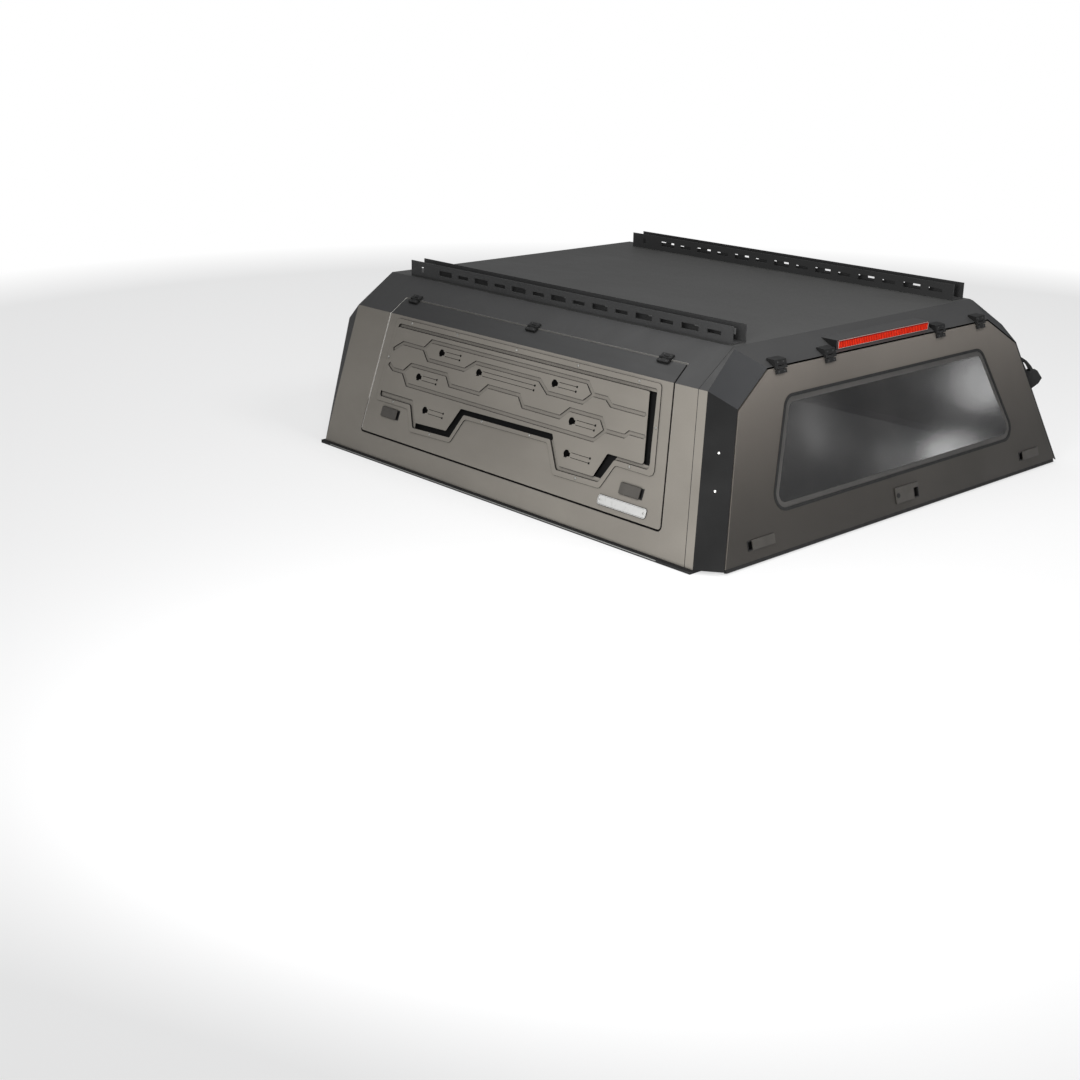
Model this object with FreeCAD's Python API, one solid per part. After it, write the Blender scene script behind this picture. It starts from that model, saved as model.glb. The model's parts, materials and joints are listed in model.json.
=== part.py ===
import FreeCAD, Part
import math
import os

V = FreeCAD.Vector
os.makedirs("parts", exist_ok=True)

# Main sizes in millimetres.
# X runs across the truck, Y forward to the cab, Z up.
# Z is zero at the foot of the walls and Y is zero at the foot of the hatch.
HALF_WIDTH = 870.0
LENGTH = 1700.0
SHEET = 2.0

# Where the side wall breaks into the shoulder and the shoulder meets the roof
BREAK_X = 709.0
BREAK_Z = 430.0
ROOF_X = 568.0
ROOF_Z = 523.0

# Rear end
HATCH_TOP_X = 533.0
HATCH_TOP_Y = 132.0
HATCH_TOP_Z = 477.0
ROOF_REAR_Y = 225.0
HATCH_FOOT_X = 821.0
CORNER_FOOT_Y = 66.0
CORNER_BREAK_Y = 185.0
KINK_Z = 390.0
TAIL_FOOT_Y = 96.0
TAIL_BREAK_Y = 218.0

# Front end, which leans forward over the cab
ROOF_FRONT_Y = 1718.0
FRONT_LEAN = 0.2615
FRONT_TOP_Z = 470.0
FRONT_KINK = V(-691.0, 1797.0, 371.0)

# Gaps round the moving panels
DOOR_GAP = 5.5
HATCH_GAP = 5.5
TAIL_SEAM = 2.0

# Side door
DOOR_FOOT_Z = 64.0
DOOR_SEAM_Z = 471.0
DOOR_REAR_FOOT_Y = 206.0
DOOR_REAR_TOP_Y = 325.0
DOOR_FRONT_FOOT_Y = 1535.0
DOOR_FRONT_TOP_Y = 1545.0
DOOR_TOP_Z = 510.0
DOOR_CORNER_R = 10.0
FRAME_DEPTH = 20.0
FRAME_FACE = 24.0
JAMB_DEPTH = 30.0
JAMB_FACE = 22.0
HINGE_Y = (395.0, 932.0, 1492.0)

# Rear hatch and its window
WINDOW_TOP_X = 477.0
WINDOW_TOP_Z = 399.0
WINDOW_FOOT_X = 607.0
WINDOW_FOOT_Z = 104.0
WINDOW_R = 46.0
GLASS = 4.0
SEAL_LIP = 8.0
HATCH_HINGE_X = (-484.0, -268.0, 268.0, 484.0)

# Hinges
PIN_R = 1.8
KNUCKLE_R = 4.0
KNUCKLE_SIDES = 16
LEAF_TOP = 2.0
DOOR_AXIS_HEIGHT = 4.0
HATCH_AXIS_HEIGHT = 4.5

# Roof rails
RAIL_OUTER_X = 554.0
RAIL_WIDTH = 57.0
RAIL_HEIGHT = 50.0
RAIL_REAR_Y = 241.0
RAIL_FRONT_Y = 1632.0
RAIL_WALL = 3.0
RAIL_SLOTS = 14
RAIL_SLOT_Y = 308.0
RAIL_PITCH = 88.4

# Brake light on the rear shoulder
LAMP_HALF_WIDTH = 224.0
LENS_HALF_WIDTH = 218.0
LENS_HEIGHT = 24.0
LAMP_REAR_Y = 140.0
LAMP_TOP_Z = 509.0

# Base rail and the rubber under it
RAIL_LIP = 10.0
RAIL_FLANGE = 50.0
RAIL_PLATE = 3.0
SEAL_THICK = 7.0

# The finished part stands on the seal, with the middle of its box over the origin.
LIFT = RAIL_PLATE + SEAL_THICK
FRONT_MOST_Y = LENGTH + FRONT_LEAN * FRONT_TOP_Z
REAR_MOST_Y = -1.0
MIDDLE_Y = (FRONT_MOST_Y + REAR_MOST_Y) / 2

SPAN = 6000.0
INSIDE = V(0.0, 850.0, 200.0)


# Plain helpers
def save(shape, node):
    """Move a finished shape to the shared frame and write it."""
    placed = shape.copy()
    placed.translate(V(0, -MIDDLE_Y, LIFT))
    placed.exportStep("parts/" + node + ".step")


def mirror(shape):
    return shape.mirror(V(0, 0, 0), V(1, 0, 0))


def both_sides(shape):
    return Part.makeCompound([shape, mirror(shape)])


def across(point):
    return V(-point.x, point.y, point.z)


def plane_through(a, b, c):
    """Outward normal and distance from the origin of a plane."""
    normal = (b - a).cross(c - a)
    normal.normalize()
    if normal.dot(INSIDE - a) > 0:
        normal = normal * -1.0
    return normal, normal.dot(a)


def keep_behind(shape, normal, distance):
    """Cut away all of a shape that lies beyond a plane."""
    length = normal.Length
    unit = normal * (1.0 / length)
    block = Part.makeBox(SPAN, SPAN, SPAN, V(-SPAN / 2, -SPAN / 2, 0))
    turn = FreeCAD.Rotation(V(0, 0, 1), unit)
    block.Placement = FreeCAD.Placement(unit * (distance / length), turn)
    return shape.cut(block)


def prism(points, direction):
    """Extrude a flat polygon."""
    wire = Part.makePolygon(points + [points[0]])
    return Part.Face(wire).extrude(direction)


def rounded_wire(points, radius):
    """Closed wire through the points with round corners."""
    count = len(points)
    starts = []
    ends = []
    middles = []
    for i in range(count):
        corner = points[i]
        back = points[i - 1] - corner
        ahead = points[(i + 1) % count] - corner
        back.normalize()
        ahead.normalize()
        half = math.acos(max(-1.0, min(1.0, back.dot(ahead)))) / 2
        reach = radius / math.tan(half)
        bisector = back + ahead
        bisector.normalize()
        centre = corner + bisector * (radius / math.sin(half))
        starts.append(corner + back * reach)
        ends.append(corner + ahead * reach)
        middles.append(centre - bisector * radius)
    edges = []
    for i in range(count):
        edges.append(Part.Arc(starts[i], middles[i], ends[i]).toShape())
        edges.append(Part.makeLine(ends[i], starts[(i + 1) % count]))
    return Part.Wire(edges)


def rounded_prism(points, radius, direction):
    return Part.Face(rounded_wire(points, radius)).extrude(direction)


def inset(points, amount):
    """Move every edge of a flat polygon inward, or outward if negative."""
    count = len(points)
    area = 0.0
    for i in range(count):
        a = points[i]
        b = points[(i + 1) % count]
        area = area + a[0] * b[1] - b[0] * a[1]
    turn = 1.0 if area > 0 else -1.0
    lines = []
    for i in range(count):
        a = points[i]
        b = points[(i + 1) % count]
        size = math.hypot(b[0] - a[0], b[1] - a[1])
        na = turn * (b[1] - a[1]) / size
        nb = turn * (a[0] - b[0]) / size
        lines.append((na, nb, na * a[0] + nb * a[1] - amount))
    result = []
    for i in range(count):
        a1, b1, k1 = lines[i - 1]
        a2, b2, k2 = lines[i]
        det = a1 * b2 - a2 * b1
        result.append(((k1 * b2 - k2 * b1) / det, (a1 * k2 - a2 * k1) / det))
    return result


def unit(a, b):
    size = math.hypot(a, b)
    return a / size, b / size


def soften(points, radius):
    """Cut each corner of a flat polygon back to a short arc of three points."""
    count = len(points)
    result = []
    for i in range(count):
        before = points[i - 1]
        here = points[i]
        after = points[(i + 1) % count]
        back = unit(before[0] - here[0], before[1] - here[1])
        ahead = unit(after[0] - here[0], after[1] - here[1])
        cosine = back[0] * ahead[0] + back[1] * ahead[1]
        half = math.acos(max(-1.0, min(1.0, cosine))) / 2
        reach = radius / math.tan(half)
        middle = radius / math.sin(half) - radius
        bisector = unit(back[0] + ahead[0], back[1] + ahead[1])
        result.append((here[0] + back[0] * reach, here[1] + back[1] * reach))
        result.append((here[0] + bisector[0] * middle, here[1] + bisector[1] * middle))
        result.append((here[0] + ahead[0] * reach, here[1] + ahead[1] * reach))
    return result


def ribbon(path, width):
    """Flat outline of an open path with mitred bends and pointed ends."""
    half = width / 2
    steps = []
    for i in range(len(path) - 1):
        steps.append(unit(path[i + 1][0] - path[i][0], path[i + 1][1] - path[i][1]))
    left = []
    right = []
    for i in range(len(path)):
        before = steps[max(i - 1, 0)]
        after = steps[min(i, len(steps) - 1)]
        mitre = unit(-before[1] - after[1], before[0] + after[0])
        reach = half / (mitre[1] * before[0] - mitre[0] * before[1])
        left.append((path[i][0] + mitre[0] * reach, path[i][1] + mitre[1] * reach))
        right.append((path[i][0] - mitre[0] * reach, path[i][1] - mitre[1] * reach))
    tip = (path[-1][0] + steps[-1][0] * half, path[-1][1] + steps[-1][1] * half)
    return left + [tip] + right[::-1]


# The outer planes of the shell
def meet(p, q, r):
    """Point where three planes cross."""
    n1, k1 = p
    n2, k2 = q
    n3, k3 = r
    det = n1.dot(n2.cross(n3))
    point = n2.cross(n3) * k1 + n3.cross(n1) * k2 + n1.cross(n2) * k3
    return point * (1.0 / det)


def mirrored_plane(plane):
    normal, distance = plane
    return across(normal), distance


wall_foot = V(-HALF_WIDTH, 0, 0)
wall_break = V(-BREAK_X, 0, BREAK_Z)
roof_edge = V(-ROOF_X, 0, ROOF_Z)
along = V(0, 1, 0)
sideways = V(1, 0, 0)

side = plane_through(wall_foot, wall_foot + along, wall_break)
shoulder = plane_through(wall_break, wall_break + along, roof_edge)
roof = (V(0, 0, 1), ROOF_Z)
hatch_top = V(0, HATCH_TOP_Y, HATCH_TOP_Z)
hatch = plane_through(V(0, 0, 0), sideways, hatch_top)
rear_shoulder = plane_through(hatch_top, hatch_top + sideways, V(0, ROOF_REAR_Y, ROOF_Z))
rear_low = plane_through(
    V(-HALF_WIDTH, CORNER_FOOT_Y, 0),
    V(-HATCH_FOOT_X, 0, 0),
    V(-BREAK_X, CORNER_BREAK_Y, BREAK_Z),
)
rear_kink = meet(rear_low, hatch, (V(0, 0, 1), KINK_Z))
rear_high = plane_through(
    V(-HATCH_TOP_X, HATCH_TOP_Y, HATCH_TOP_Z),
    V(-BREAK_X, CORNER_BREAK_Y, BREAK_Z),
    rear_kink,
)
front_foot = V(0, LENGTH, 0)
front_top = V(0, FRONT_MOST_Y, FRONT_TOP_Z)
front = plane_through(front_foot, front_foot + sideways, front_top)
front_shoulder = plane_through(front_top, front_top + sideways, V(0, ROOF_FRONT_Y, ROOF_Z))
front_low = plane_through(
    V(-HALF_WIDTH, LENGTH, 0),
    V(-BREAK_X, ROOF_FRONT_Y, BREAK_Z),
    FRONT_KINK,
)
front_high = plane_through(
    V(-ROOF_X, ROOF_FRONT_Y, ROOF_Z),
    V(-BREAK_X, ROOF_FRONT_Y, BREAK_Z),
    FRONT_KINK,
)

centre_planes = [roof, hatch, rear_shoulder, front, front_shoulder]
left_planes = [side, shoulder, rear_low, rear_high, front_low, front_high]
outer_planes = centre_planes + left_planes + [mirrored_plane(p) for p in left_planes]

outer_block = Part.makeBox(2400, 2600, 700, V(-1200, -300, 0))
for normal, distance in outer_planes:
    outer_block = keep_behind(outer_block, normal, distance)


def inner_block(depth):
    """The space left inside when every plane moves in by a depth."""
    block = Part.makeBox(2400, 2600, 800, V(-1200, -300, -50))
    for normal, distance in outer_planes:
        block = keep_behind(block, normal, distance - depth)
    return block


def panel(plane, thickness=SHEET):
    """One face of the shell as a sheet with mitred edges."""
    normal, distance = plane
    sheet = keep_behind(outer_block, normal * -1.0, -(distance - thickness))
    for other in outer_planes:
        if other is plane:
            continue
        mitre = other[0] - normal
        if mitre.Length > 0.001:
            gap = other[1] - distance
            sheet = keep_behind(sheet, mitre, gap)
    return sheet


# Bent layers under the left side wall and shoulder
def layer(outer_depth, inner_depth):
    """Band between two depths that follows the side wall and shoulder."""
    def corner_points(depth):
        lower = meet((side[0], side[1] - depth), (along, 0), (V(0, 0, 1), -40))
        bend = meet((side[0], side[1] - depth), (along, 0), (shoulder[0], shoulder[1] - depth))
        upper = meet((shoulder[0], shoulder[1] - depth), (along, 0), (sideways, -ROOF_X + 20))
        return [lower, bend, upper]

    outline = corner_points(outer_depth) + corner_points(inner_depth)[::-1]
    return prism(outline, V(0, 2200, 0))


shoulder_up = V(BREAK_X - ROOF_X, 0, ROOF_Z - BREAK_Z)
shoulder_up.normalize()
seam_share = (DOOR_SEAM_Z - BREAK_Z) / (ROOF_Z - BREAK_Z)
seam_point = V(-BREAK_X + (BREAK_X - ROOF_X) * seam_share, 0, DOOR_SEAM_Z)
seam_distance = shoulder_up.dot(seam_point)


def door_region(grow):
    """Everything behind the left door outline, grown or shrunk."""
    flat = [
        (DOOR_REAR_FOOT_Y, DOOR_FOOT_Z),
        (DOOR_FRONT_FOOT_Y, DOOR_FOOT_Z),
        (DOOR_FRONT_TOP_Y, DOOR_TOP_Z),
        (DOOR_REAR_TOP_Y, DOOR_TOP_Z),
    ]
    moved = inset(flat, -grow)
    points = [V(-1000, y, z) for y, z in moved]
    block = rounded_prism(points, max(DOOR_CORNER_R + grow, 3.0), V(700, 0, 0))
    return keep_behind(block, shoulder_up, seam_distance + grow)


# Fixed panels of the shell
half_gap = DOOR_GAP / 2
opening = door_region(half_gap)
side_sheet = panel(side)
shoulder_sheet = panel(shoulder)


def behind_tail(shift):
    """The parts of the side wall and shoulder behind the tail seam, moved back."""
    foot_y = TAIL_FOOT_Y - shift
    break_y = TAIL_BREAK_Y - shift
    roof_y = ROOF_REAR_Y - shift
    side_line = [
        V(-1000, foot_y, 0),
        V(-1000, break_y, BREAK_Z),
        V(-1000, break_y, 460),
        V(-1000, -200, 460),
        V(-1000, -200, -10),
        V(-1000, foot_y, -10),
    ]
    shoulder_line = [
        V(-BREAK_X, break_y, 400),
        V(-ROOF_X, roof_y, 400),
        V(-ROOF_X + 60, roof_y, 400),
        V(-ROOF_X + 60, -200, 400),
        V(-1000, -200, 400),
        V(-1000, break_y, 400),
    ]
    return prism(side_line, V(500, 0, 0)), prism(shoulder_line, V(0, 0, 200))


side_tail, shoulder_tail = behind_tail(0)
side_wall = side_sheet.cut(side_tail)
side_tail_piece, shoulder_tail_piece = behind_tail(TAIL_SEAM)
tail_flange = side_sheet.common(side_tail_piece).fuse(shoulder_sheet.common(shoulder_tail_piece))

front_zone = Part.makeBox(500, 500, 700, V(-1000, 1540, -20))
rear_zone = prism(
    [
        V(-1000, -100, -20),
        V(-1000, 206 + 0.267 * -84, -20),
        V(-1000, 206 + 0.267 * 400, 464),
        V(-1000, -100, 464),
    ],
    V(500, 0, 0),
)
quarter_front = side_wall.common(front_zone).cut(opening)
quarter_rear = side_wall.common(rear_zone).cut(opening)
sill = side_wall.cut(front_zone).cut(rear_zone).cut(opening)
cant_rail = shoulder_sheet.cut(opening).cut(shoulder_tail)

save(both_sides(quarter_front), "front_quarters")
save(both_sides(quarter_rear), "rear_quarters")
save(both_sides(sill), "side_sills")
save(both_sides(cant_rail), "cant_rails")
save(panel(roof), "roof_panel")
save(panel(rear_shoulder), "rear_shoulder")
save(panel(front_shoulder), "front_shoulder")
save(both_sides(tail_flange), "tail_flanges")
save(both_sides(panel(rear_low).fuse(panel(rear_high))), "rear_corners")
save(both_sides(panel(front_low).fuse(panel(front_high))), "front_corners")


# Flat frames for work on a sloping face
class Face:
    """A sloping face with an origin, two directions in it and a normal."""

    def __init__(self, origin, across_dir, up_dir, normal):
        self.origin = origin
        self.across_dir = across_dir
        self.up_dir = up_dir
        self.normal = normal

    def point(self, a, b, depth=0.0):
        step = self.across_dir * a + self.up_dir * b
        return self.origin + step + self.normal * -depth

    def plate(self, flat, top, thickness, radius=0.0):
        """Plate with its outer face at a height over the face."""
        points = [self.point(a, b, -top) for a, b in flat]
        direction = self.normal * -thickness
        if radius > 0:
            return rounded_prism(points, radius, direction)
        return prism(points, direction)

    def ring(self, flat, width, top, thickness, radius=0.0):
        whole = self.plate(flat, top, thickness, radius)
        hole_radius = max(radius - width, 0.0)
        if radius > 0 and hole_radius < 1.0:
            hole_radius = 1.0
        hole = self.plate(inset(flat, width), top + 1, thickness + 2, hole_radius)
        return whole.cut(hole)


hatch_up = V(0, HATCH_TOP_Y, HATCH_TOP_Z)
hatch_rise = HATCH_TOP_Z / hatch_up.Length
hatch_up.normalize()
hatch_face = Face(V(0, 0, 0), sideways, hatch_up, hatch[0])
side_up = wall_break - wall_foot
side_rise = BREAK_Z / side_up.Length
side_up.normalize()
side_face = Face(wall_foot, along, side_up, side[0])


def window_outline(rise):
    return [
        (-WINDOW_FOOT_X, WINDOW_FOOT_Z / rise),
        (WINDOW_FOOT_X, WINDOW_FOOT_Z / rise),
        (WINDOW_TOP_X, WINDOW_TOP_Z / rise),
        (-WINDOW_TOP_X, WINDOW_TOP_Z / rise),
    ]


def window_parts(face, outline):
    """Hole, rubber seal and glass of a bonded window."""
    half = SEAL_LIP / 2
    hole = face.plate(inset(outline, half), 5, 20, WINDOW_R - half)
    lip = face.ring(outline, SEAL_LIP, 1.5, 1.5, WINDOW_R)
    web = face.ring(inset(outline, half), half, 0, 6, WINDOW_R - half)
    seal = lip.fuse(web).removeSplitter()
    glass = face.plate(inset(outline, SEAL_LIP), -1, GLASS, WINDOW_R - SEAL_LIP)
    return hole, seal, glass


save(panel(front), "front_wall")

# Base rail round three sides and the rubber under it
rail_outer = [
    V(-HALF_WIDTH - RAIL_LIP, CORNER_FOOT_Y, 0),
    V(-HALF_WIDTH - RAIL_LIP, LENGTH + RAIL_LIP, 0),
    V(HALF_WIDTH + RAIL_LIP, LENGTH + RAIL_LIP, 0),
    V(HALF_WIDTH + RAIL_LIP, CORNER_FOOT_Y, 0),
    V(HALF_WIDTH - RAIL_FLANGE, CORNER_FOOT_Y, 0),
    V(HALF_WIDTH - RAIL_FLANGE, LENGTH - RAIL_FLANGE, 0),
    V(-HALF_WIDTH + RAIL_FLANGE, LENGTH - RAIL_FLANGE, 0),
    V(-HALF_WIDTH + RAIL_FLANGE, CORNER_FOOT_Y, 0),
]
base_rail = prism(rail_outer, V(0, 0, -RAIL_PLATE))
save(base_rail, "base_rail")
bed_seal = prism([p + V(0, 0, -RAIL_PLATE) for p in rail_outer], V(0, 0, -SEAL_THICK))
save(bed_seal, "bed_seal")


# Roof rails, channels with slots in both walls
def wall_cutter(wall, y, length, height):
    """Block that opens a slot in the left or right wall of the left rail."""
    wall_x = -RAIL_OUTER_X if wall == "left" else -RAIL_OUTER_X + RAIL_WIDTH - RAIL_WALL
    z = ROOF_Z + RAIL_HEIGHT / 2 - height / 2
    corner = V(wall_x - 5, y - length / 2, z)
    return Part.makeBox(RAIL_WALL + 10, length, height, corner)


rail_length = RAIL_FRONT_Y - RAIL_REAR_Y
rail_corner = V(-RAIL_OUTER_X, RAIL_REAR_Y, ROOF_Z)
roof_rail = Part.makeBox(RAIL_WIDTH, rail_length, RAIL_HEIGHT, rail_corner)
channel_corner = rail_corner + V(RAIL_WALL, -1, RAIL_WALL)
channel = Part.makeBox(RAIL_WIDTH - 2 * RAIL_WALL, rail_length + 2, RAIL_HEIGHT, channel_corner)
roof_rail = roof_rail.cut(channel)
slots = []
for i in range(RAIL_SLOTS):
    if i % 2 == 1:
        slots.append((RAIL_SLOT_Y + i * RAIL_PITCH, 65, 17))
    else:
        slots.append((RAIL_SLOT_Y + i * RAIL_PITCH, 51, 11))
left_slots = slots + [(RAIL_FRONT_Y - 58, 13, 18)]
right_slots = [(280, 9, 18), (314, 38, 11)] + slots[1:] + [(1540, 51, 11)]
for slot_y, length, height in left_slots:
    roof_rail = roof_rail.cut(wall_cutter("left", slot_y, length, height))
for slot_y, length, height in right_slots:
    roof_rail = roof_rail.cut(wall_cutter("right", slot_y, length, height))
right_rail = roof_rail.copy()
right_rail.translate(V(2 * RAIL_OUTER_X - RAIL_WIDTH, 0, 0))
save(Part.makeCompound([roof_rail, right_rail]), "roof_rails")

# Brake light: a wedge on the rear shoulder with a long lens in its rear face
shoulder_slope = (ROOF_Z - HATCH_TOP_Z) / (ROOF_REAR_Y - HATCH_TOP_Y)
lamp_foot_z = HATCH_TOP_Z + shoulder_slope * (LAMP_REAR_Y - HATCH_TOP_Y)
lamp_back_y = HATCH_TOP_Y + (LAMP_TOP_Z - HATCH_TOP_Z) / shoulder_slope
lamp = prism(
    [
        V(-LAMP_HALF_WIDTH, LAMP_REAR_Y, lamp_foot_z),
        V(-LAMP_HALF_WIDTH, LAMP_REAR_Y, LAMP_TOP_Z),
        V(-LAMP_HALF_WIDTH, lamp_back_y, LAMP_TOP_Z),
    ],
    V(2 * LAMP_HALF_WIDTH, 0, 0),
)
lens_corner = V(-LENS_HALF_WIDTH, LAMP_REAR_Y - 1.5, LAMP_TOP_Z - 1.5 - LENS_HEIGHT)
lens = Part.makeBox(2 * LENS_HALF_WIDTH, 6, LENS_HEIGHT, lens_corner)
save(lamp.cut(lens), "brake_light_housing")
save(lens, "brake_light_lens")


# Hinges
def rod(centre, radius, pin_dir, normal, length, sides=KNUCKLE_SIDES):
    """Many-sided bar along a hinge axis."""
    other = pin_dir.cross(normal)
    points = []
    for i in range(sides):
        angle = 2 * math.pi * i / sides
        points.append(centre + normal * (radius * math.cos(angle)) + other * (radius * math.sin(angle)))
    return prism(points, pin_dir * length)


def leaf(axis, pin_dir, along_dir, normal, hinge, fingers, with_pin, body=None):
    """One leaf of a hinge: a thick plate on the face and its knuckles."""
    bottom, start, reach, half = hinge

    def block(near, far, low_side, low, high):
        corner = axis + along_dir * near + normal * low_side + pin_dir * low
        outline = [
            corner,
            corner + along_dir * (far - near),
            corner + along_dir * (far - near) + normal * (LEAF_TOP - low_side),
            corner + normal * (LEAF_TOP - low_side),
        ]
        return prism(outline, pin_dir * (high - low))

    shape = body if body else block(start, reach, bottom, -half, half)
    for low, high in fingers:
        knuckle = rod(axis + pin_dir * low, KNUCKLE_R, pin_dir, normal, high - low)
        shape = shape.fuse(knuckle)
        shape = shape.fuse(block(0, start + 1, -KNUCKLE_R, low, high))
    low = min(f[0] for f in fingers)
    high = max(f[1] for f in fingers)
    if with_pin:
        shape = shape.fuse(rod(axis + pin_dir * low, PIN_R, pin_dir, normal, high - low, 10))
    else:
        bore_start = axis + pin_dir * (low - 1)
        shape = shape.cut(rod(bore_start, PIN_R + 0.5, pin_dir, normal, high - low + 2, 10))
    return shape.removeSplitter()


# For each leaf: its underside and start and end from the pin, and its half length
DOOR_LEAF = (-DOOR_AXIS_HEIGHT, KNUCKLE_R + 2, 16, 21)
HATCH_LEAF = (-HATCH_AXIS_HEIGHT, KNUCKLE_R + 2, 21, 24)
HATCH_STRAP = (-HATCH_AXIS_HEIGHT, KNUCKLE_R + 2, 17, 21)
door_axis = seam_point + shoulder[0] * DOOR_AXIS_HEIGHT
fixed_leaves = []
door_arms = []
for hinge_y in HINGE_Y:
    centre = door_axis + V(0, hinge_y, 0)
    outer_fingers = [(-21, -9), (9, 21)]
    fixed_leaves.append(
        leaf(centre, along, shoulder_up, shoulder[0], DOOR_LEAF, outer_fingers, True)
    )
    door_arms.append(
        leaf(centre, along, shoulder_up * -1.0, shoulder[0], DOOR_LEAF, [(-8, 8)], False)
    )
save(Part.makeCompound(fixed_leaves + [mirror(s) for s in fixed_leaves]), "door_hinge_leaves")

# The hatch turns just below its top edge, so its fixed leaves reach over the fold.
rear_up = V(0, ROOF_REAR_Y - HATCH_TOP_Y, ROOF_Z - HATCH_TOP_Z)
rear_up.normalize()
hatch_axis = hatch_top - hatch_up * HATCH_GAP + hatch[0] * HATCH_AXIS_HEIGHT
leaf_side_view = [
    hatch_axis + hatch_up * 6 + hatch[0] * LEAF_TOP,
    hatch_axis + hatch_up * 21 + hatch[0] * LEAF_TOP,
    V(0, 158.5, 495.5),
    hatch_top + rear_up * 30,
    hatch_top,
]
hatch_leaves = []
hatch_straps = []
for hinge_x in HATCH_HINGE_X:
    centre = hatch_axis + V(hinge_x, 0, 0)
    body = prism([p + V(hinge_x - 24, 0, 0) for p in leaf_side_view], V(48, 0, 0))
    outer_fingers = [(-24, -11), (11, 24)]
    hatch_leaves.append(
        leaf(centre, sideways, hatch_up, hatch[0], HATCH_LEAF, outer_fingers, True, body)
    )
    hatch_straps.append(
        leaf(centre, sideways, hatch_up * -1.0, hatch[0], HATCH_STRAP, [(-10, 10)], False)
    )
save(Part.makeCompound(hatch_leaves), "hatch_hinge_leaves")
save(Part.makeCompound(hatch_straps), "hatch_hinge_straps")

# Door jambs: a return round each side opening and a rebate behind the door
jamb_outer = door_region(half_gap + SHEET)
jamb_inner = door_region(half_gap)
jamb_rebate = door_region(half_gap - JAMB_FACE)
jamb_return = layer(SHEET, JAMB_DEPTH).common(jamb_outer).cut(jamb_inner)
jamb_stop = layer(JAMB_DEPTH - SHEET, JAMB_DEPTH).common(jamb_outer).cut(jamb_rebate)
door_jamb = jamb_return.fuse(jamb_stop).removeSplitter()
save(both_sides(door_jamb), "door_jambs")

# Side doors
door_sheet = layer(0, SHEET).common(door_region(-half_gap))
return_ring = layer(SHEET, FRAME_DEPTH).common(door_region(-half_gap))
return_ring = return_ring.cut(door_region(-half_gap - SHEET))
inner_skin = layer(FRAME_DEPTH - SHEET, FRAME_DEPTH).common(door_region(-half_gap))
door_inner = return_ring.fuse(inner_skin).removeSplitter()


# Flush latches: a pan let into the panel and a lifting plate over it
def latch(face, a, b, length, height, slot, pivot_side=1):
    """Pan, plate, hole and pivot point, with the finger slot facing the pivot."""
    flange = [
        (a - length / 2, b - height / 2),
        (a + length / 2, b - height / 2),
        (a + length / 2, b + height / 2),
        (a - length / 2, b + height / 2),
    ]
    well = inset(flange, 1.5)
    pan = face.plate(flange, 1, 1).fuse(face.plate(well, 0, 12))
    pan = pan.cut(face.plate(inset(flange, 3), 2, 11.5))
    hole = face.plate(well, 2, 12)
    pivot_a = a + pivot_side * length / 2
    free_a = a - pivot_side * (length / 2 - slot)
    cover = [
        (free_a, b - height / 2),
        (pivot_a, b - height / 2),
        (pivot_a, b + height / 2),
        (free_a, b + height / 2),
    ]
    plate = face.plate(cover, 4, 2.6)
    pivot = face.point(pivot_a, b, -1.4)
    return pan, plate, hole, pivot


def door_latch(y, z):
    return latch(side_face, y, z / side_rise, 86, 30, 11)


front_latch = door_latch(1412.0, 139.5)
rear_latch = door_latch(343.0, 138.0)
latch_pans = Part.makeCompound([front_latch[0], rear_latch[0]])
door_sheet = door_sheet.cut(front_latch[2]).cut(rear_latch[2])

# Tool panel: a pressed sheet bolted over an opening in the door skin.
# It is drawn as Y and Z on the side wall. A raised field carries the grooves
# and keyholes, a sunk step runs round it, and the rim takes the bolts.
FIELD = [
    (1486, 395), (377, 395), (326, 213), (464, 213), (493, 145), (632, 144),
    (690, 221), (1094, 214), (1134, 141), (1283, 136), (1322, 198), (1486, 198),
]
STEP = [
    (1486, 406), (354, 406), (303, 202), (434, 202), (470, 134), (640, 131),
    (694, 204), (1076, 199), (1112, 125), (1290, 119), (1329, 181), (1486, 181),
]
RIM = [
    (1502, 420), (344, 420), (280, 189), (426, 189), (460, 120), (647, 117),
    (702, 194), (1067, 188), (1104, 112), (1298, 106), (1337, 168), (1502, 168),
]
SLOTS = [
    [(377, 393), (354, 393), (305, 214), (326, 214)],
    [(464, 211), (432, 211), (470, 147), (493, 147)],
    [
        (1283, 136), (1134, 141), (1094, 214), (690, 221),
        (690, 204), (1076, 199), (1112, 125), (1279, 120),
    ],
]
GROOVE_WIDTH = 12.0
GROOVE_DEPTH = 2.6
GROOVE_FLOOR = 1.5
GROOVES = [
    [(1480, 327), (1440, 352), (1335, 351), (1308, 378), (610, 378), (578, 350)],
    [
        (1335, 351), (1302, 323), (1127, 323), (1085, 351),
        (800, 351), (755, 323), (609, 323), (578, 350),
    ],
    [(578, 350), (524, 350), (500, 335), (371, 335)],
    [
        (1482, 283), (1455, 269), (1404, 269), (1374, 296), (1199, 296), (1172, 269),
        (1033, 269), (1005, 296), (865, 296), (837, 269), (681, 269), (650, 296),
        (523, 296), (496, 268),
    ],
    [(1404, 269), (1369, 236), (530, 236), (496, 268)],
    [(496, 268), (422, 268), (409, 280), (352, 280)],
]
# Keyholes, each with the far end of its spring tongue
KEYHOLES = [
    (1246, 352, 1162), (1058, 326, 815), (735, 352, 649), (1322, 267, 1239),
    (628, 267, 540), (1251, 179, 1169), (613, 181, 525),
]
KEYHOLE_SHAPE = [
    (10, 10), (0, 10), (-3, 6), (-12, 5), (-12, -5), (-3, -6), (0, -10), (10, -10), (8, 0),
]
RIM_TOP = 2.0
FIELD_TOP = 3.0
STEP_TOP = -2.0
TONGUE_HALF = 6.5


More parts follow.
